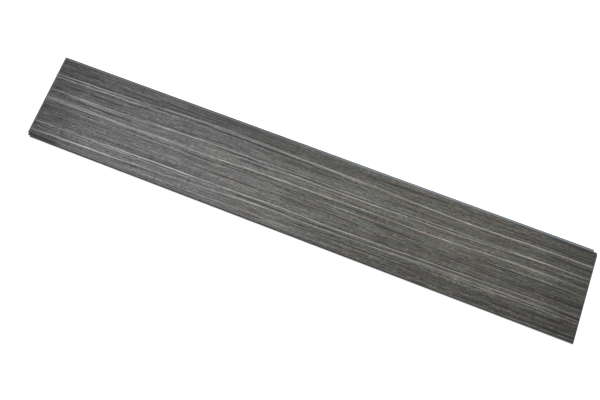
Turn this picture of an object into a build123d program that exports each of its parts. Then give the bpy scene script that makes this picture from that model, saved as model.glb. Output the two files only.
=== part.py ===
from build123d import *

import os

# Click-lock vinyl floor plank, lying flat with its printed face up.
# The length runs along X and the width along Y. The locking lip stands out at
# the +Y long edge and the -X end, the tongue at the -Y long edge and the +X end.
# The origin is under the middle of the whole outline, on the underside.

# Printed face, from top edge to top edge
face_length = 1219.2
face_width = 190.5
thickness = 5.0

# Bevel round the printed face
bevel_run = 0.5
bevel_drop = 0.35

# Tongue, with heights above the underside
tongue_reach = 2.6
tongue_underside = 1.7
tongue_thickness = 1.5
tongue_nose_radius = 0.6

# Locking lip under the groove
lip_reach = 5.2
lip_valley_height = 1.0
lip_sill_width = 0.8
lip_sill_slope = 0.5
lip_valley_width = 2.0
bead_height = 0.8
bead_slope = 0.4
bead_chamfer = 0.4
lip_toe_chamfer = 0.3

# Fits between one plank and the next
groove_gap = 0.1
groove_end_gap = 0.15
lip_gap = 0.1
lip_end_gap = 0.2

# The long edge's tongue is cut back where the end's lip of a neighbour passes
tongue_setback = 5.0

# Sizes that follow from those above
tongue_topside = tongue_underside + tongue_thickness
groove_floor = tongue_underside - groove_gap
groove_roof = tongue_topside + groove_gap
groove_depth = tongue_reach + groove_end_gap
valley_start = lip_sill_width + lip_sill_slope
valley_end = valley_start + lip_valley_width
bead_start = valley_end + bead_slope
bead_top = lip_valley_height + bead_height
pocket_reach = lip_reach + lip_end_gap
outline_shift = (lip_reach - tongue_reach) / 2


def lip_edge_points():
    """Corners (out, height) of the lip edge, from the underside up to the face.

    Out is measured from the printed face's own edge. The lip's top runs from the
    groove's floor down into a valley and up again over a locking bead.
    """
    return [
        (lip_reach - lip_toe_chamfer, 0),
        (lip_reach, lip_toe_chamfer),
        (lip_reach, bead_top - bead_chamfer),
        (lip_reach - bead_chamfer, bead_top),
        (bead_start, bead_top),
        (valley_end, lip_valley_height),
        (valley_start, lip_valley_height),
        (lip_sill_width, groove_floor),
        (-groove_depth, groove_floor),
        (-groove_depth, groove_roof),
        (0, groove_roof),
        (0, thickness - bevel_drop),
        (-bevel_run, thickness),
    ]


def tongue_edge_points():
    """Corners (out, height) of the tongue edge, from the face down to the underside.

    Below the tongue the underside is cut away to the lip's own outline, with a
    gap, so that a neighbour's lip reaches under and its bead locks in the pocket.
    """
    return [
        (-bevel_run, thickness),
        (0, thickness - bevel_drop),
        (0, tongue_topside),
        (tongue_reach, tongue_topside),
        (tongue_reach, tongue_underside),
        (-lip_sill_width, tongue_underside),
        (-valley_start, lip_valley_height + lip_gap),
        (lip_gap - valley_end, lip_valley_height + lip_gap),
        (lip_gap - bead_start, bead_top + lip_gap),
        (-pocket_reach, bead_top + lip_gap),
        (-pocket_reach, 0),
    ]


def cross_section(span):
    """Flat outline of the plank across one direction, face width or face length.

    The tongue is on the left and the lip on the right, with the underside at
    zero height. The tongue's tip is rounded.
    """
    left = [(-span / 2 - out, height) for out, height in tongue_edge_points()]
    right = [(span / 2 + out, height) for out, height in lip_edge_points()]
    outline = make_face(Polyline(*left, *right, close=True))
    tip = outline.vertices().group_by(Axis.X)[0]
    nose = min(tongue_nose_radius, 0.45 * tongue_thickness)
    return fillet(tip, nose)


def milled_stock():
    """Stock with all four edges milled: the long edges' outline runs the whole
    length and the ends' outline runs the whole width, so each cuts the other."""
    end_plane = Plane(origin=(0, 0, 0), x_dir=(-1, 0, 0), z_dir=(0, 1, 0))
    long_edges = extrude(Plane.YZ * cross_section(face_width), amount=face_length, both=True)
    end_edges = extrude(end_plane * cross_section(face_length), amount=face_width, both=True)
    return long_edges & end_edges


def corner_cutter(low_x, high_x, low_y, high_y):
    """Block of full thickness between the given sides, for clearing a corner."""
    width_x = high_x - low_x
    width_y = high_y - low_y
    block = Box(width_x, width_y, 3 * thickness)
    return Pos((low_x + high_x) / 2, (low_y + high_y) / 2, thickness / 2) * block


def corner_reliefs():
    """The three cuts that let planks meet corner to corner.

    Each lip stops where the pocket of the crossing tongue edge begins, and the
    long tongue starts a little way in from the lip end.
    """
    half_length = face_length / 2
    half_width = face_width / 2
    clear = lip_reach + tongue_reach
    long_lip_stop = corner_cutter(
        half_length - pocket_reach, half_length + clear, half_width, half_width + clear
    )
    end_lip_stop = corner_cutter(
        -half_length - clear, -half_length, -half_width - clear, pocket_reach - half_width
    )
    long_tongue_start = corner_cutter(
        -half_length - clear, tongue_setback - half_length, -half_width - clear, -half_width
    )
    return [long_lip_stop, end_lip_stop, long_tongue_start]


def make_plank():
    """The whole plank as one solid, with the origin under its outline's middle."""
    plank = milled_stock()
    for cutter in corner_reliefs():
        plank -= cutter
    return Pos(outline_shift, -outline_shift, 0) * plank


plank = make_plank()
os.makedirs("parts", exist_ok=True)
export_step(plank, "parts/plank.step")
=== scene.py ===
"""Looks of a click-lock vinyl floor plank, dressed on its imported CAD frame.

The plank's printed face is rebuilt as a fine embossed surface and joined to a
copy of the milled board below it, so that one closed mesh stands for the plank.
The long axis is X, the width is Y, and the printed face looks up along Z.
"""

import logging
import math
from dataclasses import dataclass
from enum import IntEnum

import bpy
import numpy as np
from mathutils import Matrix, Vector


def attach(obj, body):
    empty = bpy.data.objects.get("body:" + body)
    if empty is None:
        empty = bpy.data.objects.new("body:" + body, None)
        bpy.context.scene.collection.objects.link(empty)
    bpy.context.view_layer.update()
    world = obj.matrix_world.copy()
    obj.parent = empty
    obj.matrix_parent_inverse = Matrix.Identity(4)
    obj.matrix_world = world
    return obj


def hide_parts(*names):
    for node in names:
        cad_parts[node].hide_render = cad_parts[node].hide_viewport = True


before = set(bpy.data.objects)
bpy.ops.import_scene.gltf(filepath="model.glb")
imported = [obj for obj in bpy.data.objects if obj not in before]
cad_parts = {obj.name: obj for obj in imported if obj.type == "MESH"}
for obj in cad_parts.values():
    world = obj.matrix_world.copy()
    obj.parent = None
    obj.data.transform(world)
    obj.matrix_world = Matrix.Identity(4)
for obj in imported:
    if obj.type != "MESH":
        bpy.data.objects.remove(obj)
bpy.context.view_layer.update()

MM = 0.001
FACE_LENGTH = 1219.2 * MM
FACE_WIDTH = 190.5 * MM
THICKNESS = 5.0 * MM
BEVEL_RUN = 0.5 * MM
BEVEL_DROP = 0.35 * MM
OUTLINE_SHIFT = 1.3 * MM
RIM_HEIGHT = THICKNESS - BEVEL_DROP

FACE_LEFT = OUTLINE_SHIFT - FACE_LENGTH / 2
FACE_RIGHT = OUTLINE_SHIFT + FACE_LENGTH / 2
FACE_TOP = FACE_WIDTH / 2 - OUTLINE_SHIFT
FACE_BOTTOM = -FACE_WIDTH / 2 - OUTLINE_SHIFT

Colour = tuple[float, float, float]


class Layer(IntEnum):
    """The plank's visible surfaces, in the order of the mesh's material slots."""

    PRINT = 0
    BEVEL = 1
    CORE = 2
    BACKING = 3


@dataclass(frozen=True)
class GrainLine:
    """One light or dark line, or one broad shade, of the print.

    Each knot is (millimetres from the left end, millimetres from the upper long
    edge, strength). The strength runs from 0 to 1 on a line, and may be negative on
    a shade. The line fades out beyond its first and last knot.
    """

    knots: tuple[tuple[float, float, float], ...]
    width: float
    fade: float = 22.0

    def course(self, along: np.ndarray) -> np.ndarray:
        """Place across the plank at each station, in millimetres, joined straight between knots."""
        stations, places, _ = zip(*self.knots)
        return np.interp(along, stations, places)

    def strength(self, along: np.ndarray) -> np.ndarray:
        """Strength at each station, joined straight between knots and faded at the ends.

        Args:
            along: stations along the plank, in millimetres.

        Returns:
            The strength there.
        """
        stations, _, strengths = zip(*self.knots)
        reach = (stations[0] - self.fade, *stations, stations[-1] + self.fade)
        return np.interp(along, reach, (0.0, *strengths, 0.0))


LIGHT_LINES = {
    "first": GrainLine(
        ((0, 38.5, 0.75), (100, 36.2, 0.8), (200, 33.3, 0.6), (300, 28.6, 0.7), (350, 27.5, 0.5),
         (450, 25.8, 0.4), (500, 26.6, 0.4), (550, 28.2, 0.45), (600, 28.9, 0.45), (680, 31.2, 1.1),
         (740, 31.0, 0.4), (850, 34.9, 0.8), (940, 36.2, 0.85), (1050, 34.0, 1.0), (1100, 32.7, 1.0),
         (1219, 31.8, 0.85)),
        1.15,
    ),
    "second": GrainLine(
        ((0, 75.0, 0.95), (100, 74.5, 0.85), (200, 72.4, 0.7), (270, 69.8, 0.8), (350, 67.6, 0.75),
         (400, 65.7, 0.55), (500, 65.2, 0.6), (600, 63.0, 0.5), (750, 63.2, 0.4), (850, 61.9, 0.55),
         (950, 60.2, 0.5), (1050, 59.1, 0.35), (1120, 59.3, 0.9), (1219, 59.3, 0.6)),
        1.25,
    ),
    "third": GrainLine(
        ((0, 94.2, 0.55), (100, 93.0, 0.5), (200, 95.0, 0.4), (300, 93.3, 0.55), (380, 93.0, 0.45),
         (450, 91.5, 0.8), (480, 90.0, 0.85), (600, 88.3, 0.8), (700, 87.3, 0.6), (800, 87.2, 0.55),
         (930, 86.0, 0.9), (960, 85.2, 0.6), (1000, 83.0, 0.75), (1100, 80.8, 0.85), (1219, 80.8, 0.45)),
        1.1,
    ),
    "fourth": GrainLine(
        ((0, 110, 0.1), (110, 109.5, 0.5), (145, 109, 0.5), (200, 108, 0.25), (300, 107, 0.4),
         (400, 107, 0.1)),
        0.9,
    ),
    "fifth": GrainLine(
        ((0, 152.8, 0.6), (100, 153.1, 0.6), (140, 151.2, 0.7), (220, 149.8, 1.05), (320, 148.3, 1.0),
         (400, 147.7, 0.7), (500, 146.4, 0.8), (560, 143.7, 0.8), (650, 145.4, 0.65), (700, 145.7, 0.8),
         (800, 143.2, 0.8), (900, 141.7, 0.85), (1000, 139.4, 0.75), (1100, 137.5, 0.75),
         (1150, 136.8, 0.65), (1219, 138.3, 0.8)),
        1.15,
    ),
    "sixth": GrainLine(
        ((0, 172.8, 0.35), (60, 173.0, 0.9), (150, 170.7, 1.0), (200, 170.5, 0.65), (240, 168.5, 0.7),
         (300, 166.8, 0.7), (350, 165.0, 0.65), (420, 162.1, 0.6), (490, 158.0, 0.8),
         (560, 155.9, 0.75), (620, 156.1, 0.45), (740, 154.5, 0.5), (840, 151.0, 0.75),
         (900, 149.2, 0.7), (1000, 147.8, 0.6), (1040, 147.0, 0.7), (1150, 145.6, 0.55),
         (1219, 146.6, 0.2)),
        1.1,
    ),
    "first fork": GrainLine(
        ((370, 31.5, 0.35), (450, 29.5, 0.35), (500, 30.0, 0.5), (600, 29.8, 0.2), (700, 29.3, 0.3)),
        0.9,
    ),
    "under first": GrainLine(((0, 45, 0.6), (60, 42.9, 0.5), (190, 41.2, 0.35), (250, 38, 0.2)), 0.9),
    "below first": GrainLine(
        ((300, 37.5, 0.15), (370, 37.5, 0.4), (470, 36.5, 0.35), (540, 38.5, 0.15)),
        0.9,
    ),
    "second fork": GrainLine(
        ((400, 76.0, 0.25), (450, 73.0, 0.6), (520, 72.0, 0.45), (590, 70.2, 0.8), (700, 69.8, 0.95),
         (800, 68.0, 0.9), (900, 67.0, 0.7), (1000, 65.0, 0.8), (1050, 63.0, 0.4), (1080, 61.5, 0.6),
         (1105, 59.6, 0.3)),
        1.0,
    ),
    "under second": GrainLine(
        ((60, 78.5, 0.5), (110, 78.0, 0.7), (180, 76.8, 0.4), (260, 73.5, 0.25)),
        0.9,
    ),
    "under third": GrainLine(((0, 98, 0.6), (100, 97.2, 0.55), (200, 97.5, 0.4), (300, 95.5, 0.4)), 1.0),
    "short middle": GrainLine(((640, 102.3, 0.25), (700, 101.3, 0.6), (750, 101.6, 0.2)), 0.8),
    "right middle": GrainLine(
        ((960, 101, 0.15), (1020, 97.5, 0.3), (1060, 97.0, 0.55), (1100, 96, 0.5), (1219, 95.5, 0.3)),
        0.9,
    ),
    "over third": GrainLine(((1060, 79.2, 0.25), (1150, 78.8, 0.3)), 0.8),
    "under fifth": GrainLine(
        ((145, 153.8, 0.2), (200, 155.5, 0.35), (300, 153.5, 0.45), (360, 154.5, 0.4)),
        0.9,
    ),
    "seventh": GrainLine(
        ((880, 154, 0.35), (950, 153.1, 0.7), (1050, 152.9, 0.7), (1150, 151.5, 0.85),
         (1219, 152.2, 0.35)),
        0.9,
    ),
    "low middle": GrainLine(((500, 178, 0.1), (590, 177.5, 0.45), (650, 176, 0.2)), 0.8),
    "low right": GrainLine(((920, 178.5, 0.35), (1000, 177.5, 0.3)), 0.8),
    "lower right": GrainLine(((1100, 171, 0.3), (1170, 170.0, 0.4)), 0.8),
    "crossing": GrainLine(
        ((660, 117.0, 0.2), (740, 117.5, 0.3), (800, 121.5, 0.3), (840, 122.0, 0.2)),
        0.8,
    ),
}

DARK_LINES = {
    "over first": GrainLine(((30, 35.0, 0.6), (110, 32.8, 0.85), (180, 30.8, 0.7), (250, 29.8, 0.35)), 1.0),
    "under first left": GrainLine(((20, 41.5, 0.5), (120, 39.5, 0.4)), 0.9),
    "top left": GrainLine(((160, 21.5, 0.5), (230, 20.0, 0.6)), 1.0),
    "top middle": GrainLine(((255, 15.5, 0.7), (330, 16.0, 0.7), (400, 16.0, 0.4)), 1.0),
    "top middle right": GrainLine(((440, 23.0, 0.4), (520, 22.5, 0.8), (555, 21.8, 0.7)), 1.0),
    "under first middle": GrainLine(
        ((250, 34.3, 0.6), (330, 32.5, 0.35), (400, 32.6, 0.6), (560, 34.0, 0.6)),
        1.0,
    ),
    "long upper": GrainLine(((495, 45.2, 0.6), (560, 45.0, 0.95), (650, 45.0, 0.7)), 1.0),
    "between left": GrainLine(((110, 58, 0.6), (160, 58, 0.5)), 1.5),
    "between left low": GrainLine(((215, 64.5, 0.5), (330, 63.5, 0.5)), 1.1),
    "under second left": GrainLine(((80, 83.5, 0.4), (130, 83.5, 0.7), (190, 83.5, 0.4)), 1.2),
    "under second middle": GrainLine(((415, 69.5, 0.7), (470, 68.6, 0.9), (500, 71.0, 0.3)), 1.0),
    "under fork": GrainLine(((470, 76.5, 0.4), (535, 77.2, 0.6)), 1.0),
    "in fork": GrainLine(((580, 66.6, 0.7), (700, 66.3, 0.5), (800, 65.3, 0.4), (900, 64.3, 0.4)), 0.8),
    "over middle": GrainLine(((40, 102.5, 0.5), (110, 101.0, 0.5)), 0.9),
    "over middle next": GrainLine(((200, 102.0, 0.5), (250, 102.5, 0.5)), 0.9),
    "left of middle": GrainLine(((340, 102.0, 0.4), (372, 103.0, 0.95), (395, 102.8, 0.5)), 1.1),
    "middle": GrainLine(((425, 101.5, 0.7), (520, 101.5, 0.4), (600, 101.5, 0.5)), 0.9),
    "under third middle": GrainLine(((425, 95.5, 0.7), (465, 95.0, 0.7)), 0.9),
    "under third right": GrainLine(
        ((500, 93.8, 0.6), (560, 92.8, 0.4), (690, 93.5, 0.6), (765, 94.0, 0.6)),
        0.9,
    ),
    "under short": GrainLine(((560, 104.5, 0.3), (700, 104.3, 0.5), (770, 104.5, 0.2)), 0.8),
    "long middle": GrainLine(
        ((350, 126.0, 0.3), (400, 125.3, 0.5), (450, 123.7, 0.9), (490, 123.2, 0.9), (540, 121.8, 0.5),
         (600, 120.5, 0.8), (660, 120.2, 0.8), (740, 120.5, 0.4)),
        0.95,
    ),
    "over fifth left": GrainLine(((250, 146.0, 0.6), (330, 144.8, 0.5), (400, 144.5, 0.5)), 0.9),
    "under fifth left": GrainLine(((290, 151.0, 0.7), (345, 151.0, 0.5)), 0.8),
    "under fifth": GrainLine(
        ((470, 151.5, 0.4), (500, 151.0, 0.95), (530, 150.6, 0.8), (580, 150.2, 0.4)),
        1.1,
    ),
    "under fifth right": GrainLine(((650, 152.0, 0.5), (675, 152.0, 0.9), (700, 151.5, 0.4)), 1.0),
    "under sixth left": GrainLine(((60, 176, 0.3), (120, 175, 0.4), (250, 173.5, 0.4)), 0.9),
    "lower left patch": GrainLine(((0, 187, 0.9), (60, 186, 0.8)), 3.0),
    "under sixth middle": GrainLine(((420, 164.5, 0.3), (470, 163.0, 0.3)), 0.9),
    "low long": GrainLine(
        ((610, 169.5, 0.3), (700, 168.6, 0.8), (760, 168.2, 0.7), (900, 167.0, 0.4)),
        1.1,
    ),
    "low middle": GrainLine(((500, 181, 0.5), (540, 181, 0.4)), 1.0),
    "low edge": GrainLine(((340, 183, 0.4), (400, 184, 0.4)), 1.0),
    "middle right": GrainLine(((780, 106, 0.5), (830, 106.5, 0.7), (870, 106, 0.3)), 1.1),
    "right upper": GrainLine(((740, 16.5, 0.5), (800, 11.5, 0.5), (900, 10.5, 0.6)), 1.2),
    "right first": GrainLine(((700, 37.0, 0.5), (760, 37.5, 0.4), (860, 39.0, 0.5), (920, 39.0, 0.3)), 1.0),
    "right upper low": GrainLine(((1000, 40.0, 0.4), (1080, 39.5, 0.5)), 1.0),
    "far right upper": GrainLine(((1145, 40.5, 0.6), (1200, 42.0, 0.95), (1219, 42.0, 0.9)), 1.3),
    "far right top": GrainLine(((1080, 24.0, 0.5), (1150, 23.5, 0.8), (1170, 23.5, 0.6)), 1.0),
    "right middle": GrainLine(
        ((1000, 99.8, 0.6), (1050, 99.0, 0.95), (1120, 98.6, 0.7), (1190, 98.2, 0.8)),
        1.0,
    ),
    "right of long": GrainLine(
        ((1010, 122.5, 0.5), (1060, 122.3, 0.7), (1120, 121.5, 0.6), (1219, 120.5, 0.9)),
        1.2,
    ),
    "over fifth right": GrainLine(((860, 144.8, 0.5), (960, 143.0, 0.3)), 0.9),
    "far right low": GrainLine(((1180, 142.5, 0.7), (1219, 142.5, 0.7)), 1.2),
    "low right": GrainLine(((1060, 173.5, 0.8), (1090, 173.5, 0.9), (1115, 173.0, 0.4)), 1.2),
    "right sixth": GrainLine(((1120, 163.5, 0.6), (1219, 162.5, 0.7)), 1.1),
    "right foot": GrainLine(((1170, 183.5, 0.8), (1219, 183.0, 0.8)), 1.3),
}

# Broad lighter (above 0) and darker (below 0) bands of the timber, in doublings of brightness.
SHADE_BANDS = {
    "upper edge": GrainLine(
        ((0, 5, -0.4), (200, 8, -0.6), (450, 8, -0.7), (560, 9, -0.95), (650, 14, -0.7),
         (750, 14, -0.35), (900, 12, -0.6), (1219, 10, -0.72)),
        14.0,
    ),
    "upper rim": GrainLine(
        ((60, 3, -0.12), (200, 3, -0.1), (500, 3, -0.2), (600, 3, -0.3), (680, 3, -0.05),
         (740, 3, 0.16), (850, 3, 0.42), (950, 3, 0.22)),
        5.0,
    ),
    "upper field": GrainLine(
        ((0, 24, -0.42), (150, 23, -0.36), (250, 22, -0.52), (360, 21, -0.72), (560, 22, -0.54),
         (700, 22, -0.1), (860, 24, 0.15), (950, 24, 0.0)),
        8.0,
    ),
    "over first left": GrainLine(((0, 31, -0.55), (150, 31, -0.55), (250, 32, -0.45)), 4.0),
    "first": GrainLine(
        ((0, 43, 0.0), (100, 42, 0.4), (250, 42, 0.75), (340, 38, 0.3), (420, 34, 0.0)), 5.0
    ),
    "under first": GrainLine(((500, 33, -0.3), (570, 34, -0.45), (690, 34, -0.6)), 4.0),
    "right of first": GrainLine(
        ((620, 43, 0.15), (680, 43, 0.2), (760, 44, 0.05), (850, 46, 0.4), (920, 46, 0.35),
         (1000, 44, 0.28), (1090, 43, 0.2)),
        7.0,
    ),
    "far right upper": GrainLine(((1050, 45, -0.15), (1150, 42, -0.3), (1219, 42, -0.3)), 7.0),
    "between first and second": GrainLine(
        ((190, 52, -0.65), (300, 52, -0.6), (400, 52, -0.55), (460, 52, -0.5)), 6.0
    ),
    "over second": GrainLine(
        ((0, 61, -0.5), (120, 62, -0.22), (300, 63, -0.18), (450, 61, -0.26), (560, 61, -0.12)), 5.0
    ),
    "second": GrainLine(
        ((60, 78, 0.15), (130, 78, 0.35), (220, 80, 0.1), (300, 78, 0.0), (450, 70, 0.15), (560, 70, -0.18),
         (700, 70, -0.25)),
        6.0,
    ),
    "right of second": GrainLine(
        ((900, 79, -0.25), (950, 79, -0.6), (1050, 77, -0.65), (1130, 75, -0.62), (1219, 75, -0.62)), 8.0
    ),
    "left end": GrainLine(((0, 84, -0.58), (80, 84, -0.3)), 8.0),
    "middle left": GrainLine(
        ((0, 92, 0.1), (120, 93, 0.35), (450, 92, 0.3), (620, 91, 0.2), (750, 90, 0.1)), 9.0
    ),
    "under third": GrainLine(((450, 99, 0.2), (660, 99, 0.22), (770, 99, -0.2), (880, 99, -0.25)), 4.5),
    "over right middle": GrainLine(
        ((740, 109, 0.12), (800, 109, 0.18), (1000, 109, 0.15), (1100, 102, 0.25)), 5.0
    ),
    "right middle": GrainLine(
        ((640, 118, 0.0), (800, 119, -0.2), (950, 118, -0.25), (1080, 117, -0.45), (1219, 114, -0.4)), 15.0
    ),
    "middle": GrainLine(((220, 128, 0.2), (340, 129, 0.5), (440, 124, 0.25), (560, 127, 0.42)), 14.0),
    "lower left": GrainLine(
        ((0, 135, -0.15), (40, 138, 0.0), (130, 142, 0.3), (300, 138, 0.35), (560, 142, 0.32),
         (680, 142, 0.0)),
        42.0,
    ),
    "lower left end": GrainLine(((0, 136, -0.55), (80, 136, -0.3)), 5.0),
    "right low middle": GrainLine(
        ((780, 135, -0.1), (850, 136, -0.42), (960, 136, -0.38), (1100, 139, -0.55), (1180, 140, -0.75),
         (1219, 140, -0.75)),
        9.0,
    ),
    "under fifth": GrainLine(
        ((0, 157, 0.4), (100, 157, 0.2), (250, 157, 0.45), (350, 156, 0.18), (450, 156, -0.18),
         (560, 156, -0.24), (640, 156, -0.15)),
        5.0,
    ),
    "over sixth": GrainLine(((0, 166, -0.4), (130, 166, -0.3)), 4.0),
    "lower left field": GrainLine(
        ((0, 174, -0.1), (70, 175, 0.15), (150, 177, 0.5), (250, 177, 0.6), (500, 176, 0.6),
         (600, 177, 0.15)),
        15.0,
    ),
    "lower edge": GrainLine(
        ((600, 179, -0.2), (720, 179, -0.5), (800, 179, -0.5), (900, 180, -0.66), (1219, 180, -0.64)), 16.0
    ),
}

# The courses that the whole grain bends with, from the upper long edge down.
GUIDE_COURSES = (
    ((0, 38.5), (200, 33.3), (400, 26.5), (500, 26.2), (680, 31.0), (850, 34.5), (980, 37.0),
     (1100, 32.5), (1219, 32.0)),
    ((0, 75.5), (200, 72.5), (400, 65.8), (600, 63.3), (850, 61.0), (1050, 58.7), (1219, 59.2)),
    ((0, 94.0), (200, 94.0), (450, 91.5), (600, 88.5), (850, 86.5), (960, 84.5), (1050, 81.5),
     (1219, 81.5)),
    ((0, 128.0), (370, 126.0), (510, 122.2), (740, 120.3), (1030, 121.8), (1219, 120.5)),
    ((0, 153.0), (150, 150.8), (400, 147.5), (560, 144.0), (700, 144.8), (1000, 138.5), (1219, 136.8)),
    ((0, 173.0), (240, 169.0), (350, 165.0), (500, 158.2), (740, 155.0), (900, 149.2),
     (1040, 146.8), (1219, 146.5)),
)


def smooth_step(share: np.ndarray) -> np.ndarray:
    """Eases a share from 0 to 1 with a level start and end: 3 t squared less 2 t cubed.

    Args:
        share: values, held between 0 and 1 first.

    Returns:
        The eased values.
    """
    held = np.clip(share, 0.0, 1.0)
    return held * held * (3.0 - 2.0 * held)


def fibre_field(
    along: np.ndarray, across: np.ndarray, length: float, width: float, seed: int
) -> np.ndarray:
    """Grain in rows that run along the plank, each row started at a place of its own.

    Every row holds random values from -1 to 1 at even steps. A point takes the
    value at its station in the two rows nearest to it, eased between the steps
    along each row and then eased from one row to the next.

    Args:
        along: stations along the plank.
        across: places across the grain, in the same unit.
        length: step along a row.
        width: distance between rows.
        seed: picks the random values.

    Returns:
        The field, from -1 to 1, in the shape of the two inputs.
    """
    rng = np.random.default_rng(seed)
    row_place = (across - across.min()) / width
    step_place = (along - along.min()) / length
    row_count = int(row_place.max()) + 3
    step_count = int(step_place.max()) + 4
    values = rng.uniform(-1.0, 1.0, (row_count, step_count))
    starts = rng.uniform(0.0, 1.0, row_count)

    def row_value(row: np.ndarray) -> np.ndarray:
        """Value of the given rows at every point's station.

        Args:
            row: number of the row that each point reads.

        Returns:
            The rows' values there.
        """
        place = step_place + starts[row]
        step = place.astype(int)
        ease = smooth_step(place - step)
        return values[row, step] * (1.0 - ease) + values[row, step + 1] * ease

    lower = row_place.astype(int)
    ease = smooth_step(row_place - lower)
    return row_value(lower) * (1.0 - ease) + row_value(lower + 1) * ease


@dataclass(frozen=True)
class WoodPrint:
    """Drawing of the printed film: where its grain runs, and its light and dark lines.

    All places are in millimetres from the face's left end and upper long edge.
    """

    bend_window: float = 70.0
    line_window: float = 24.0
    station_step: float = 2.0
    waver_steps: int = 45
    ink_steps: int = 90
    ink_range: tuple[float, float] = (0.84, 1.12)

    def smoothed(self, stations: np.ndarray, places: np.ndarray, window: float) -> np.ndarray:
        """Rounds a jointed course by a moving mean with a raised-cosine weight.

        Args:
            stations: even stations along the plank.
            places: the course there.
            window: length of the mean.

        Returns:
            The rounded course at the same stations.
        """
        half = max(1, int(window / self.station_step / 2))
        weight = 1.0 + np.cos(np.linspace(-math.pi, math.pi, 2 * half + 1))
        padded = np.concatenate([np.full(half, places[0]), places, np.full(half, places[-1])])
        return np.convolve(padded, weight / weight.sum(), mode="valid")

    def stations(self) -> np.ndarray:
        """Even stations along the face that courses are rounded on."""
        return np.arange(0.0, FACE_LENGTH / MM + self.station_step, self.station_step)

    def flow(self, along: np.ndarray, across: np.ndarray) -> np.ndarray:
        """Place across the grain, so that it stays the same along every grain line.

        Between two guide courses the place rises evenly from the one's mean place
        to the other's. The two long edges are the outermost courses.

        Args:
            along: stations of the points.
            across: places of the points across the plank.

        Returns:
            The place across the grain of every point.
        """
        stations = self.stations()
        edge = np.zeros_like(stations)
        courses = [edge]
        for knots in GUIDE_COURSES:
            xs, ys = zip(*knots)
            courses.append(self.smoothed(stations, np.interp(stations, xs, ys), self.bend_window))
        courses.append(edge + FACE_WIDTH / MM)
        place = np.zeros_like(along)
        for above, below in zip(courses[:-1], courses[1:]):
            top = np.interp(along, stations, above)
            bottom = np.interp(along, stations, below)
            share = np.clip((across - top) / (bottom - top), 0.0, 1.0)
            place = place + share * (below.mean() - above.mean())
        return place

    def lines(
        self,
        drawn: dict[str, GrainLine],
        along: np.ndarray,
        across: np.ndarray,
        seed: int,
        evenness: float = 1.0,
        ripple: float = 0.35,
    ) -> np.ndarray:
        """Strength of a set of grain lines, each a ridge that falls off as a bell curve across it.

        A line wavers by a fraction of its width, and its strength comes and goes
        along it, as ink does in a printed fibre. The strength of a knot is raised to
        a power, its sign kept.

        Args:
            drawn: the lines.
            along: stations of the points.
            across: places of the points across the plank.
            seed: picks the wavering.
            evenness: power that strengths are raised to, below 1 to bring up the faint lines.
            ripple: how far a line wavers, as a share of its width.

        Returns:
            Strength at every point, from 0 up.
        """
        stations = self.stations()
        total = np.zeros_like(along)
        for index, line in enumerate(drawn.values()):
            rng = np.random.default_rng(seed + index)
            wavers = rng.uniform(-1, 1, self.waver_steps)
            inks = rng.uniform(*self.ink_range, self.ink_steps)
            waver = np.interp(stations, np.linspace(0, stations[-1], self.waver_steps), wavers)
            ink = np.interp(stations, np.linspace(0, stations[-1], self.ink_steps), inks)
            course = self.smoothed(stations, line.course(stations), self.line_window)
            course = course + ripple * line.width * waver
            drawn_strength = line.strength(stations)
            strength = np.sign(drawn_strength) * np.abs(drawn_strength) ** evenness * ink
            middle = np.interp(along, stations, course)
            height = np.interp(along, stations, strength)
            total = total + height * np.exp(-(((across - middle) / line.width) ** 2))
        return total


class Signal:
    """A number that varies over a surface, on which Python's operators add Math nodes."""

    def __init__(self, tree: "Tree", socket: bpy.types.NodeSocket) -> None:
        """Wraps an output socket of the tree."""
        self.tree = tree
        self.socket = socket

    def _maths(self, operation: str, *values: "Signal | float") -> "Signal":
        """One Math node of the given operation on the values."""
        inputs = dict(enumerate(values))
        return self.tree.signal("ShaderNodeMath", {"operation": operation}, inputs)

    def __add__(self, other: "Signal | float") -> "Signal":
        """Sum."""
        return self._maths("ADD", self, other)

    def __radd__(self, other: float) -> "Signal":
        """Sum with a number first."""
        return self._maths("ADD", other, self)

    def __sub__(self, other: "Signal | float") -> "Signal":
        """Difference."""
        return self._maths("SUBTRACT", self, other)

    def __rsub__(self, other: float) -> "Signal":
        """Difference from a number."""
        return self._maths("SUBTRACT", other, self)

    def __mul__(self, other: "Signal | float") -> "Signal":
        """Product."""
        return self._maths("MULTIPLY", self, other)

    def __rmul__(self, other: float) -> "Signal":
        """Product with a number first."""
        return self._maths("MULTIPLY", other, self)

    def __truediv__(self, other: "Signal | float") -> "Signal":
        """Quotient."""
        return self._maths("DIVIDE", self, other)

    def __rpow__(self, other: float) -> "Signal":
        """A number raised to this power."""
        return self._maths("POWER", other, self)

    def over(self, other: "Signal | float") -> "Signal":
        """1 where this is greater than the other, else 0."""
        return self._maths("GREATER_THAN", self, other)

    def larger(self, other: "Signal | float") -> "Signal":
        """The larger of the two."""
        return self._maths("MAXIMUM", self, other)

    def capped(self, knee: float, share: float) -> "Signal":
        """Unchanged up to the knee, and rising by only this share of its rise beyond it."""
        return self - (self - knee).larger(0.0) * (1.0 - share)

    def eased(self, low: float, high: float) -> "Signal":
        """0 below low, 1 above high and a smooth rise between them.

        Args:
            low: where the rise starts.
            high: where it ends.

        Returns:
            The eased signal.
        """
        settings = {"interpolation_type": "SMOOTHSTEP"}
        inputs = {"Value": self, "From Min": low, "From Max": high}
        return self.tree.signal("ShaderNodeMapRange", settings, inputs)


Fed = Signal | bpy.types.NodeSocket | float | Colour


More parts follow.
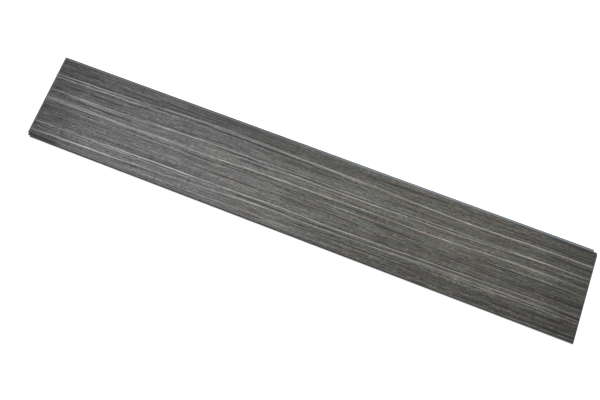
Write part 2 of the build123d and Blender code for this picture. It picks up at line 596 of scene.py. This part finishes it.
class Tree:
    """A material's or the world's node tree, emptied and built up by calls."""

    def __init__(self, owner: bpy.types.Material | bpy.types.World) -> None:
        """Turns nodes on for the owner and clears them.

        Args:
            owner: the material or the world.
        """
        owner.use_nodes = True
        self.nodes = owner.node_tree.nodes
        self.links = owner.node_tree.links
        self.nodes.clear()

    @staticmethod
    def _find(sockets: bpy.types.bpy_prop_collection, key: str | int) -> bpy.types.NodeSocket:
        """Finds one socket.

        Args:
            sockets: a node's inputs or outputs.
            key: the socket's number, identifier or name.

        Returns:
            The socket.
        """
        if isinstance(key, int):
            return sockets[key]
        named = [socket for socket in sockets if socket.identifier == key]
        return named[0] if named else sockets[key]

    def node(self, kind: str, settings: dict | None = None, inputs: dict | None = None) -> bpy.types.Node:
        """Adds one node.

        Args:
            kind: the node's type.
            settings: its properties, set first.
            inputs: a value or a link for its sockets, by name, identifier or number.

        Returns:
            The node.
        """
        made = self.nodes.new(kind)
        for name, value in (settings or {}).items():
            setattr(made, name, value)
        for key, value in (inputs or {}).items():
            socket = self._find(made.inputs, key)
            if isinstance(value, Signal):
                self.links.new(value.socket, socket)
            elif isinstance(value, bpy.types.NodeSocket):
                self.links.new(value, socket)
            elif isinstance(value, tuple) and len(socket.default_value) == 4:
                socket.default_value = (*value, 1.0)
            else:
                socket.default_value = value
        return made

    def signal(
        self,
        kind: str,
        settings: dict | None = None,
        inputs: dict | None = None,
        output: str | int = 0,
    ) -> Signal:
        """Adds one node and wraps one of its outputs.

        Args:
            kind: the node's type.
            settings: its properties.
            inputs: values or links of its sockets.
            output: name or number of the output.

        Returns:
            The output as a signal.
        """
        made = self.node(kind, settings, inputs)
        return Signal(self, self._find(made.outputs, output))

    def seen(self) -> Signal:
        """1 where a surface is seen, straight on or in gloss or glass, and 0 where it gives light.

        Returns:
            The mask.
        """
        path = self.node("ShaderNodeLightPath").outputs
        rays = ("Is Camera Ray", "Is Glossy Ray", "Is Transmission Ray")
        camera, glossy, transmission = (Signal(self, path[ray]) for ray in rays)
        return camera.larger(glossy).larger(transmission)

    def attribute(self, name: str) -> Signal:
        """A number held by the mesh at each of its points."""
        return self.signal("ShaderNodeAttribute", {"attribute_name": name}, output="Fac")

    def object_axes(self) -> tuple[Signal, Signal, Signal]:
        """The point's place on the piece.

        Returns:
            The places along X, Y and Z, in millimetres.
        """
        place = self.node("ShaderNodeTexCoord").outputs["Object"]
        split = self.node("ShaderNodeSeparateXYZ", inputs={"Vector": place})
        x, y, z = (Signal(self, socket) for socket in split.outputs)
        return x / MM, y / MM, z / MM

    def noise(
        self, x: Fed, y: Fed, z: Fed, detail: float = 2.0, roughness: float = 0.5
    ) -> Signal:
        """Noise about zero, from -0.5 to 0.5, with one unit of the inputs to a lump.

        Args:
            x: place along the first axis, in lumps.
            y: place along the second axis.
            z: place along the third axis.
            detail: number of finer layers.
            roughness: strength of each finer layer, as a share of the one before.

        Returns:
            The noise.
        """
        place = self.node("ShaderNodeCombineXYZ", inputs={"X": x, "Y": y, "Z": z}).outputs["Vector"]
        inputs = {"Vector": place, "Scale": 1.0, "Detail": detail, "Roughness": roughness}
        return self.signal("ShaderNodeTexNoise", {"noise_dimensions": "3D"}, inputs, "Fac") - 0.5

    def mixed(
        self, share: Fed, first: Fed, second: Fed, blend: str = "MIX"
    ) -> bpy.types.NodeSocket:
        """Colour between the first and the second, or the two blended another way.

        Args:
            share: 0 gives the first colour, 1 the second or the blend.
            first: the one colour.
            second: the other.
            blend: how they are blended.

        Returns:
            The socket of the colour.
        """
        settings = {"data_type": "RGBA", "blend_type": blend}
        inputs = {"Factor_Float": share, "A_Color": first, "B_Color": second}
        return self._find(self.node("ShaderNodeMix", settings, inputs).outputs, "Result_Color")

    def scaled(self, colour: Fed, by: Signal) -> bpy.types.NodeSocket:
        """Colour times a number."""
        inputs = {0: colour, "Scale": by}
        return self.node("ShaderNodeVectorMath", {"operation": "SCALE"}, inputs).outputs["Vector"]

    def bumped(self, height: Signal, depth: float) -> bpy.types.NodeSocket:
        """Normal of the surface with a relief of that depth, in metres, for a height from 0 to 1."""
        inputs = {"Height": height, "Distance": depth, "Strength": 1.0}
        return self.node("ShaderNodeBump", inputs=inputs).outputs["Normal"]

    def surface(self, inputs: dict) -> None:
        """Ends the tree in a Principled surface with these socket values or links."""
        shader = self.node("ShaderNodeBsdfPrincipled", inputs=inputs)
        self.output(shader.outputs[0])

    def output(self, shader: bpy.types.NodeSocket, kind: str = "ShaderNodeOutputMaterial") -> None:
        """Ends the tree in the given shader."""
        self.node(kind, inputs={"Surface": shader})


@dataclass(frozen=True)
class GrainNoise:
    """Noise drawn out along the grain: the size of its lumps in millimetres, and its weight in the tone."""

    length: float
    width: float
    cut: float
    weight: float = 0.0
    detail: float = 2.0
    roughness: float = 0.5

    def on(self, tree: Tree, along: Signal, grain: Signal) -> Signal:
        """The noise at a place along the plank and across its grain, both in millimetres."""
        place = (along / self.length, grain / self.width, self.cut)
        return tree.noise(*place, self.detail, self.roughness)


@dataclass(frozen=True)
class PrintedVinyl:
    """Printed wood-grain film under a matt, embossed wear layer."""

    bands: GrainNoise = GrainNoise(700.0, 17.0, 3.1, 1.8)
    streaks: GrainNoise = GrainNoise(320.0, 4.2, 7.7, 2.0)
    strands: GrainNoise = GrainNoise(130.0, 1.5, 12.4, 6.6, detail=4.0, roughness=0.62)
    hairs: GrainNoise = GrainNoise(34.0, 0.7, 21.0, 8.6, detail=3.0, roughness=0.6)
    flecks: GrainNoise = GrainNoise(8.0, 1.0, 27.0, 8.4, detail=3.0, roughness=0.65)
    pores: GrainNoise = GrainNoise(19.0, 0.36, 33.0, 1.3, detail=1.0)
    patches: GrainNoise = GrainNoise(60.0, 7.0, 51.0, detail=1.0)
    wander: GrainNoise = GrainNoise(160.0, 24.0, 41.0, 0.8)

    fibre_weight: float = 0.55
    light_weight: float = 3.5
    dark_weight: float = 3.3
    # Painted shade: doublings by which both ends of the face are painted darker than its middle.
    painted_end_shade: float = 0.85
    calm_under_light: float = 0.6
    tone_shift: float = -0.91
    tone_knee: float = 0.2
    share_past_knee: float = 0.62

    middle_tone: float = 0.108
    # The drift from cool over olive to brown along the plank is a painted colour of light.
    cool: Colour = (1.0, 0.995, 1.01)
    olive: Colour = (1.02, 1.03, 0.957)
    brown: Colour = (1.058, 1.014, 0.884)
    reddish: Colour = (1.135, 0.938, 0.915)
    greenish: Colour = (0.91, 1.05, 0.96)
    bleached: Colour = (1.0, 1.01, 0.975)

    def material(self) -> bpy.types.Material:
        """Builds the material.

        The tone is counted in doublings of brightness about the middle tone: broad
        bands, streaks, strands, hairs and flecks of noise drawn out along the grain,
        the fibres that the emboss follows, the light and dark lines, and a painted
        shade that darkens both ends of the face. Above a knee it rises more slowly.
        The hue runs from cool at the left end over olive to brown at the right, a
        painted colour of light, cooler at the left end and warmer at the right.

        Returns:
            The material.
        """
        material = bpy.data.materials.new("printed_vinyl")
        tree = Tree(material)
        x, _, _ = tree.object_axes()
        grain = tree.attribute("grain_place") / MM
        fibre = tree.attribute("fibre")
        light = tree.attribute("light_lines")
        dark = tree.attribute("dark_lines")
        shade = tree.attribute("shade_bands")
        strands = self.strands.on(tree, x, grain)
        hairs = self.hairs.on(tree, x, grain)
        pores = self.pores.on(tree, x, grain).eased(0.10, 0.17)
        wander = self.wander.on(tree, x, grain)

        tone = fibre * self.fibre_weight - pores * self.pores.weight
        tone = tone + strands * self.strands.weight + hairs * self.hairs.weight
        for layer in (self.streaks, self.flecks):
            tone = tone + layer.on(tree, x, grain) * layer.weight
        tone = tone * (1.0 - light * self.calm_under_light).larger(0.3)
        tone = tone + light * self.light_weight - dark * self.dark_weight
        tone = tone + self.bands.on(tree, x, grain) * self.bands.weight + wander * self.wander.weight
        along = (x - FACE_LEFT / MM) / (FACE_LENGTH / MM)
        # Painted shade: the tone falls towards both ends of the face, standing for light that falls off
        # there.
        ends = along.eased(-0.03, 0.12) - along.eased(0.89, 1.02)
        tone = tone + shade + ends * self.painted_end_shade + self.tone_shift
        brightness = self.middle_tone * 2.0 ** tone.capped(self.tone_knee, self.share_past_knee)

        towards_right = along + wander * 0.5
        patches = self.patches.on(tree, x, grain)
        # Painted light colour: the hue drifts from cool at the left end to warm brown at the right,
        # standing for cooler light at the left and warmer light at the right.
        hue = tree.mixed(towards_right.eased(0.18, 0.55), self.cool, self.olive)
        painted_warmth = towards_right.eased(0.4, 0.75) - towards_right.eased(0.8, 1.05) * 0.45
        hue = tree.mixed(painted_warmth, hue, self.brown)
        on_line = light.eased(0.1, 0.8)
        lively = (0.4 + towards_right.eased(0.3, 0.6) * 0.6) * (1.0 - on_line * 0.8)
        hue = tree.mixed(patches.eased(0.03, 0.22) * lively, hue, self.reddish, "MULTIPLY")
        against = (patches * -1.0).eased(0.03, 0.22)
        hue = tree.mixed(against * lively, hue, self.greenish, "MULTIPLY")
        hue = tree.mixed(on_line * 0.6, hue, self.bleached)

        tree.surface(
            {
                "Base Color": tree.scaled(hue, brightness),
                "Roughness": 0.56 + hairs * 0.25 + pores * 0.12,
                "Specular IOR Level": 0.32,
                "Coat Weight": 0.06,
                "Coat Roughness": 0.42,
                "Normal": tree.bumped(0.5 + strands * 0.9 + hairs * 0.9 - pores * 0.7, 0.09 * MM),
            }
        )
        return material


@dataclass(frozen=True)
class PaintedBevel:
    """Dark painted micro-bevel round the printed face."""

    paint: Colour = (0.062, 0.062, 0.062)
    worn: Colour = (0.12, 0.125, 0.13)

    def material(self) -> bpy.types.Material:
        """Builds the material: dark paint with small light nicks and a streaky sheen.

        Returns:
            The material.
        """
        material = bpy.data.materials.new("painted_bevel")
        tree = Tree(material)
        x, y, z = tree.object_axes()
        nicks = tree.noise(x / 3.0, y / 3.0, z / 0.6).eased(0.1, 0.22)
        streaks = tree.noise(x / 40.0, y / 40.0, z / 0.3)
        tree.surface(
            {
                "Base Color": tree.mixed(nicks * 0.6, self.paint, self.worn),
                "Roughness": 0.5 + streaks * 0.3,
                "Specular IOR Level": 0.4,
                "Normal": tree.bumped(0.5 + streaks + nicks * -0.4, 0.02 * MM),
            }
        )
        return material


@dataclass(frozen=True)
class MilledCore:
    """Filled vinyl core as the cutters leave it, with the layers that show in a cut edge."""

    core: Colour = (0.150, 0.172, 0.188)
    chalk: Colour = (0.34, 0.36, 0.37)
    film: Colour = (0.035, 0.034, 0.033)
    wear_layer: Colour = (0.085, 0.090, 0.092)
    fleece: Colour = (0.36, 0.38, 0.39)
    film_height: float = 4.35
    film_thickness: float = 0.12
    fleece_height: float = 2.45
    backing_height: float = 0.5
    # Painted light on the long lip and painted shade on the tongues, as shares of the core's brightness.
    lip_painted_light: float = 0.85
    tongue_painted_shade: float = 0.5

    def material(self) -> bpy.types.Material:
        """Builds the material.

        Layers are bands of height above the underside. Cutter marks are noise that
        is drawn out along each edge, across Y at the long edges and X at the ends.
        The long lip is painted paler towards its right end, as painted light, and the
        tongues are painted darker, as painted shade under the face's edge.

        Returns:
            The material.
        """
        material = bpy.data.materials.new("milled_core")
        tree = Tree(material)
        x, y, z = tree.object_axes()
        specks = tree.noise(x / 0.5, y / 0.5, z / 0.5).eased(0.09, 0.22)
        blotches = tree.noise(x / 14.0, y / 14.0, z / 1.2)
        from_middle = tree.signal("ShaderNodeMath", {"operation": "ABSOLUTE"}, {0: x - OUTLINE_SHIFT / MM})
        at_end = from_middle.over(FACE_LENGTH / MM / 2 - 3.0)
        out = x * at_end + y * (1.0 - at_end)
        run = y * at_end + x * (1.0 - at_end)
        marks = tree.noise(run / 45.0, out / 0.3, z / 0.3, detail=3.0, roughness=0.6)
        waviness = tree.noise(run / 2.4, out / 3.0, z / 2.0, detail=1.0)

        wander = blotches * 0.12
        height = z + wander
        over_film = height.over(self.film_height + self.film_thickness)
        at_film = height.over(self.film_height) - over_film
        at_fleece = height.over(self.fleece_height) - height.over(self.fleece_height + 0.14)
        in_backing = 1.0 - height.over(self.backing_height)

        body = tree.mixed(specks * 0.45, self.core, self.chalk)
        body = tree.mixed(at_fleece * 0.35, body, self.fleece)
        body = tree.mixed(at_film, body, self.film)
        body = tree.mixed(over_film, body, self.wear_layer)
        # Painted light: the long lip is painted paler towards its right end, where it stands in the light.
        painted_lip_light = y.over(FACE_TOP / MM) * x.eased(-90.0, 230.0)
        # Painted shade: the tongues, which lie in the shade under the face's edge, are painted darker.
        painted_tongue_shade = (FACE_BOTTOM / MM - y).larger(x - FACE_RIGHT / MM).over(0.0)
        shade = 1.0 + blotches * 0.5 + marks * 1.1 + waviness * 0.25 - in_backing * 0.22
        shade = shade + painted_lip_light * self.lip_painted_light - painted_tongue_shade * self.tongue_painted_shade
        tree.surface(
            {
                "Base Color": tree.scaled(body, shade),
                "Roughness": 0.62 + marks * 0.3 - over_film * 0.15,
                "Specular IOR Level": 0.35,
                "Normal": tree.bumped(0.5 + marks * 1.5 + waviness * 0.6 + specks * 0.2, 0.06 * MM),
            }
        )
        return material


@dataclass(frozen=True)
class BackingSheet:
    """Calendered vinyl backing with a fine diamond texture, scuffed by handling."""

    sheet: Colour = (0.165, 0.175, 0.185)
    scuff: Colour = (0.27, 0.28, 0.285)
    pitch: float = 2.2

    def material(self) -> bpy.types.Material:
        """Builds the material.

        The diamonds are the larger of two sine ridges at 45 degrees to the edges.

        Returns:
            The material.
        """
        material = bpy.data.materials.new("backing_sheet")
        tree = Tree(material)
        x, y, _ = tree.object_axes()
        turn = 2.0 * math.pi / (self.pitch * math.sqrt(2.0))
        rising = tree.signal("ShaderNodeMath", {"operation": "SINE"}, {0: (x + y) * turn})
        falling = tree.signal("ShaderNodeMath", {"operation": "SINE"}, {0: (x - y) * turn})
        diamonds = rising.larger(falling).eased(0.1, 0.95)
        mottle = tree.noise(x / 60.0, y / 45.0, 2.0, detail=4.0, roughness=0.6)
        rolled = tree.noise(x / 260.0, y / 5.0, 5.0, detail=3.0)
        scuffs = tree.noise(x / 45.0, y / 0.9, 9.0, detail=3.0).eased(0.10, 0.2)
        scuffs = scuffs * tree.noise(x / 150.0, y / 50.0, 14.0).eased(-0.05, 0.15)
        dust = tree.noise(x / 1.1, y / 1.1, 17.0, detail=3.0)
        tone = 1.0 + mottle * 0.7 + rolled * 0.45 + dust * 0.3 + diamonds * 0.16
        tree.surface(
            {
                "Base Color": tree.scaled(tree.mixed(scuffs * 0.5, self.sheet, self.scuff), tone),
                "Roughness": 0.6 + mottle * 0.3 + scuffs * 0.1,
                "Specular IOR Level": 0.35,
                "Normal": tree.bumped(diamonds + dust * 0.5, 0.12 * MM),
            }
        )
        return material


@dataclass(frozen=True)
class StudioWhite:
    """White floor that shows as paper white and keeps the plank's shadow."""

    floor: Colour = (0.85, 0.85, 0.85)
    lift: float = 0.6

    def material(self) -> bpy.types.Material:
        """Builds the material: matt white, lifted to full white where it is seen and not lit from.

        Returns:
            The material.
        """
        material = bpy.data.materials.new("studio_white")
        tree = Tree(material)
        matt = tree.node("ShaderNodeBsdfDiffuse", inputs={"Color": self.floor}).outputs[0]
        glow = tree.node("ShaderNodeEmission", inputs={"Strength": self.lift}).outputs[0]
        lifted = tree.node("ShaderNodeAddShader", inputs={0: matt, 1: glow}).outputs[0]
        mix = tree.node("ShaderNodeMixShader", inputs={0: tree.seen(), 1: matt, 2: lifted})
        tree.output(mix.outputs[0])
        return material


@dataclass
class Surface:
    """Points and faces of a mesh, with the layer that each face shows."""

    points: np.ndarray
    faces: np.ndarray
    layers: np.ndarray


@dataclass
class Plank:
    """The click-lock plank: a milled board with an embossed, printed face."""

    cells_along: int = 262
    cells_across: int = 340
    bevel_rows: int = 3
    relief_start: float = 0.4 * MM
    relief_full: float = 2.5 * MM
    fibre_depth: float = 0.050 * MM
    dark_depth: float = 0.055 * MM
    light_rise: float = 0.020 * MM
    deepest: float = 0.13 * MM
    bevel_power: float = 1.35
    tolerance: float = 0.01 * MM
    sharp_angle: float = math.radians(33.0)
    wood: WoodPrint = WoodPrint()

    def rows(self, low: float, high: float, cells: int) -> np.ndarray:
        """Grid lines from one face edge to the other: a few over each bevel, and even ones between.

        Args:
            low: the one edge.
            high: the other edge.
            cells: number of even cells between the bevels.

        Returns:
            Places of the grid lines.
        """
        bevel = np.linspace(0.0, BEVEL_RUN, self.bevel_rows, endpoint=False)
        even = np.linspace(low + BEVEL_RUN, high - BEVEL_RUN, cells + 1)
        return np.concatenate([low + bevel, even, high - bevel[::-1]])

    def face_fields(self, x: np.ndarray, y: np.ndarray) -> dict[str, np.ndarray]:
        """What the emboss and the print share: grain place, fibres, and light and dark lines.

        Args:
            x: places of the points along the plank, in metres.
            y: places of the points across the plank, in metres.

        Returns:
            The fields by attribute name.
        """
        along = (x - FACE_LEFT) / MM
        across = (FACE_TOP - y) / MM
        grain = self.wood.flow(along, across)
        coarse = fibre_field(along, grain, length=75.0, width=1.35, seed=11)
        fine = fibre_field(along, grain, length=26.0, width=0.9, seed=23)
        return {
            "grain_place": grain * MM,
            "fibre": 0.6 * coarse + 0.4 * fine,
            "light_lines": self.wood.lines(LIGHT_LINES, along, across, seed=100, evenness=0.75),
            "dark_lines": self.wood.lines(DARK_LINES, along, across, seed=300, evenness=0.8),
            "shade_bands": self.wood.lines(SHADE_BANDS, along, across, seed=500, ripple=0.0),
        }

    def face_height(
        self, x: np.ndarray, y: np.ndarray, fields: dict[str, np.ndarray]
    ) -> np.ndarray:
        """Height of the printed face.

        From the flat top the surface sinks by the emboss, which fibres and dark lines
        deepen and light lines lift, and which starts a little inside the bevel. Over
        the bevel it falls with the power 1.35 of the way out to the rim.

        Args:
            x: places along the plank.
            y: places across the plank.
            fields: the fields of face_fields at the same points.

        Returns:
            Heights above the underside, in metres.
        """
        inward = np.minimum(
            np.minimum(x - FACE_LEFT, FACE_RIGHT - x), np.minimum(y - FACE_BOTTOM, FACE_TOP - y)
        )
        way_out = np.clip(1.0 - inward / BEVEL_RUN, 0.0, 1.0)
        fade = smooth_step((inward - self.relief_start) / (self.relief_full - self.relief_start))
        relief = self.fibre_depth * (0.75 - 0.55 * fields["fibre"])
        relief += self.dark_depth * fields["dark_lines"] - self.light_rise * fields["light_lines"]
        drop = BEVEL_DROP * way_out**self.bevel_power
        return THICKNESS - drop - fade * np.clip(relief, 0.0, self.deepest)

    def face(self) -> tuple[Surface, dict[str, np.ndarray], np.ndarray]:
        """The printed face and its bevel as one grid over length and width.

        Returns:
            The surface, its fields by attribute name, and the numbers of its border points.
        """
        xs = self.rows(FACE_LEFT, FACE_RIGHT, self.cells_along)
        ys = self.rows(FACE_BOTTOM, FACE_TOP, self.cells_across)
        x, y = np.meshgrid(xs, ys, indexing="ij")
        fields = self.face_fields(x, y)
        points = np.stack([x, y, self.face_height(x, y, fields)], axis=-1).reshape(-1, 3)

        number = np.arange(x.size).reshape(x.shape)
        corners = (number[:-1, :-1], number[1:, :-1], number[1:, 1:], number[:-1, 1:])
        quads = np.stack(corners, axis=-1)
        layers = np.full(quads.shape[:2], Layer.PRINT)
        rows = self.bevel_rows
        layers[:rows] = layers[-rows:] = Layer.BEVEL
        layers[:, :rows] = layers[:, -rows:] = Layer.BEVEL
        border = np.unique(np.concatenate([number[0], number[-1], number[:, 0], number[:, -1]]))
        flat_fields = {name: values.ravel() for name, values in fields.items()}
        surface = Surface(points, quads.reshape(-1, 4), layers.ravel())
        return surface, flat_fields, border

    def milled_board(self) -> tuple[np.ndarray, np.ndarray]:
        """Copies the CAD node's mesh and merges its doubled points.

        Returns:
            The points, and rows of the three points of each triangle.
        """
        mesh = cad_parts["plank"].data
        mesh.calc_loop_triangles()
        points = np.empty(len(mesh.vertices) * 3)
        mesh.vertices.foreach_get("co", points)
        triangles = np.empty(len(mesh.loop_triangles) * 3, dtype=np.int64)
        mesh.loop_triangles.foreach_get("vertices", triangles)
        places, merged = np.unique(points.reshape(-1, 3).round(6), axis=0, return_inverse=True)
        return places, merged.ravel()[triangles.reshape(-1, 3)]

    def joined(self) -> tuple[Surface, dict[str, np.ndarray]]:
        """The grid of the face set on the milled board, as one closed surface.

        The board loses what lies above its rim. A rim triangle with two corners on the
        rim becomes a fan from its low corner to the grid's border points between them,
        and one with a single corner there takes the grid's point at that place.

        Returns:
            The surface, whose faces are quads with the last corner repeated for a
            triangle, and its fields by attribute name.
        """
        face, fields, border = self.face()
        places, triangles = self.milled_board()
        high = places[:, 2] > RIM_HEIGHT - self.tolerance
        corners_high = high[triangles].sum(axis=1)
        at_rim = triangles[corners_high == 2]
        fans = [self.fan(places, corners, high, face.points, border) for corners in at_rim]
        number = np.arange(len(places)) + len(face.points)
        apart = np.linalg.norm(places[high][:, None] - face.points[border][None], axis=-1)
        number[high] = border[apart.argmin(axis=1)]
        below = number[triangles[corners_high < 2]]
        lower = np.concatenate([below, *(fan + [0, 0, len(face.points)] for fan in fans)])
        points = np.concatenate([face.points, places])

        first, second, third = (points[lower[:, corner]] for corner in range(3))
        normal = np.cross(second - first, third - first)
        straight_down = -0.99
        facing_down = normal[:, 2] < straight_down * np.linalg.norm(normal, axis=1)
        on_underside = facing_down & (first[:, 2] < self.tolerance)
        lower_layers = np.where(on_underside, Layer.BACKING, Layer.CORE)

        faces = np.concatenate([face.faces, lower[:, [0, 1, 2, 2]]])
        used, renumbered = np.unique(faces, return_inverse=True)
        bare = np.zeros(len(places))
        kept = {name: np.concatenate([values, bare])[used] for name, values in fields.items()}
        layers = np.concatenate([face.layers, lower_layers])
        return Surface(points[used], renumbered.reshape(faces.shape), layers), kept

    @staticmethod
    def fan(
        places: np.ndarray,
        corners: np.ndarray,
        high: np.ndarray,
        points: np.ndarray,
        border: np.ndarray,
    ) -> np.ndarray:
        """Splits one rim triangle of the board into a fan that meets the grid's border points.

        Args:
            places: the board's points.
            corners: numbers of the triangle's corners in the board.
            high: which of the board's points lie on the rim.
            points: the grid's points.
            border: numbers of the grid's border points.

        Returns:
            Rows of two border points, in the grid's numbers, and the low corner, in the board's.
        """
        turn = int(np.argmin(high[corners]))
        low, start, end = np.roll(corners, -turn)
        run = places[end] - places[start]
        offset = points[border] - places[start]
        share = offset @ run / (run @ run)
        beside = np.linalg.norm(offset - share[:, None] * run, axis=1)
        near = 1e-6
        on_run = (beside < near) & (share > -near) & (share < 1.0 + near)
        chain = border[on_run][np.argsort(share[on_run])]
        return np.stack([chain[:-1], chain[1:], np.full(len(chain) - 1, low)], axis=1)

    def build(self) -> bpy.types.Object:
        """Makes the plank's mesh and object, with its fields as point attributes.

        Returns:
            The object, at the origin.
        """
        surface, fields = self.joined()
        rows = surface.faces.tolist()
        faces = [row[:3] if row[2] == row[3] else row for row in rows]
        mesh = bpy.data.meshes.new("plank_visual")
        mesh.from_pydata(surface.points, [], faces)
        mesh.polygons.foreach_set("material_index", surface.layers.astype(np.int32))
        for name, values in fields.items():
            held = mesh.attributes.new(name, "FLOAT", "POINT")
            held.data.foreach_set("value", values.astype(np.float32))
        mesh.shade_smooth()
        mesh.set_sharp_from_angle(angle=self.sharp_angle)
        mesh.validate()
        made = bpy.data.objects.new("plank_visual", mesh)
        bpy.context.scene.collection.objects.link(made)
        return made

    def dress(self, made: bpy.types.Object) -> None:
        """Gives the plank its four finishes, in the order of Layer."""
        for finish in (PrintedVinyl(), PaintedBevel(), MilledCore(), BackingSheet()):
            made.data.materials.append(finish.material())

    def install(self) -> bpy.types.Object:
        """Builds and dresses the plank and lets it stand for the CAD node.

        Returns:
            The object.
        """
        made = self.build()
        self.dress(made)
        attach(made, "root")
        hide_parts("plank")
        return made


@dataclass(frozen=True)
class Studio:
    """White floor, even surroundings and one large soft lamp beyond the lip edge."""

    floor_size: float = 14.0
    floor_lines: int = 9
    floor_gap: float = 0.02 * MM
    sky: Colour = (1.0, 1.0, 1.0)
    surroundings: float = 0.42
    lamp_power: float = 20.0
    lamp_size: float = 1.3
    lamp_place: tuple[float, float, float] = (-0.3, 0.95, 1.35)
    lamp_aim: tuple[float, float, float] = (-0.1, 0.0, 0.0)

    def floor(self) -> bpy.types.Object:
        """The floor: a flat grid a hair below the plank's underside, so that no two faces coincide.

        Returns:
            The floor.
        """
        side = np.linspace(-self.floor_size / 2, self.floor_size / 2, self.floor_lines)
        x, y = np.meshgrid(side, side, indexing="ij")
        points = np.stack([x, y, np.full_like(x, -self.floor_gap)], axis=-1).reshape(-1, 3)
        number = np.arange(x.size).reshape(x.shape)
        corners = (number[:-1, :-1], number[1:, :-1], number[1:, 1:], number[:-1, 1:])
        quads = np.stack(corners, axis=-1)
        mesh = bpy.data.meshes.new("studio_floor")
        mesh.from_pydata(points, [], quads.reshape(-1, 4).tolist())
        mesh.materials.append(StudioWhite().material())
        made = bpy.data.objects.new("studio_floor", mesh)
        bpy.context.scene.collection.objects.link(made)
        return made

    def lamp(self) -> bpy.types.Object:
        """The soft lamp, square, turned to its aim and kept out of the camera's sight.

        Returns:
            The lamp.
        """
        data = bpy.data.lights.new("soft_lamp", "AREA")
        data.energy = self.lamp_power
        data.size = self.lamp_size
        made = bpy.data.objects.new("soft_lamp", data)
        made.location = self.lamp_place
        away = Vector(self.lamp_aim) - Vector(self.lamp_place)
        made.rotation_euler = away.to_track_quat("-Z", "Y").to_euler()
        made.visible_camera = False
        bpy.context.scene.collection.objects.link(made)
        return made

    def world(self) -> None:
        """Even white surroundings, seen as full white."""
        world = bpy.data.worlds.new("surroundings")
        bpy.context.scene.world = world
        tree = Tree(world)
        strength = self.surroundings + tree.seen() * (1.0 - self.surroundings)
        sky = tree.node("ShaderNodeBackground", inputs={"Color": self.sky, "Strength": strength})
        tree.output(sky.outputs[0], "ShaderNodeOutputWorld")

    def build(self) -> None:
        """Sets up the floor, the lamp, the surroundings and the plain view of colours."""
        self.floor()
        self.lamp()
        self.world()
        bpy.context.scene.view_settings.view_transform = "Standard"


@dataclass(frozen=True)
class OverheadCamera:
    """Camera at the photograph's angle.

    It looks nearly straight down, turned so that the plank runs down to the right.
    """

    lens: float = 29.0
    film_width: float = 36.0
    yaw: float = math.radians(25.64)
    tilt: float = math.radians(10.81)
    roll: float = math.radians(-4.68)
    distance: float = 1.027
    target: tuple[float, float, float] = (0.0008, -0.0193, 0.0)

    def build(self) -> bpy.types.Object:
        """Places the camera at its distance from the target, behind its own viewing direction.

        Returns:
            The camera.
        """
        data = bpy.data.cameras.new("overhead_camera")
        data.lens = self.lens
        data.sensor_width = self.film_width
        made = bpy.data.objects.new("overhead_camera", data)
        bpy.context.scene.collection.objects.link(made)
        heading = Matrix.Rotation(self.yaw, 3, "Z") @ Matrix.Rotation(self.tilt, 3, "X")
        turned = heading @ Matrix.Rotation(self.roll, 3, "Z")
        made.rotation_euler = turned.to_euler()
        made.location = Vector(self.target) + turned @ Vector((0.0, 0.0, self.distance))
        bpy.context.scene.camera = made
        return made


def main() -> None:
    """Builds the plank, the studio and the camera, and reports each."""
    logging.basicConfig(level=logging.INFO, format="%(message)s")
    plank = Plank().install()
    triangles = sum(len(face.vertices) - 2 for face in plank.data.polygons)
    logging.info("plank: %d points, %d triangles", len(plank.data.vertices), triangles)
    Studio().build()
    logging.info("studio: floor, lamp and surroundings")
    OverheadCamera().build()
    logging.info("camera: placed")


if __name__ == "__main__":
    main()
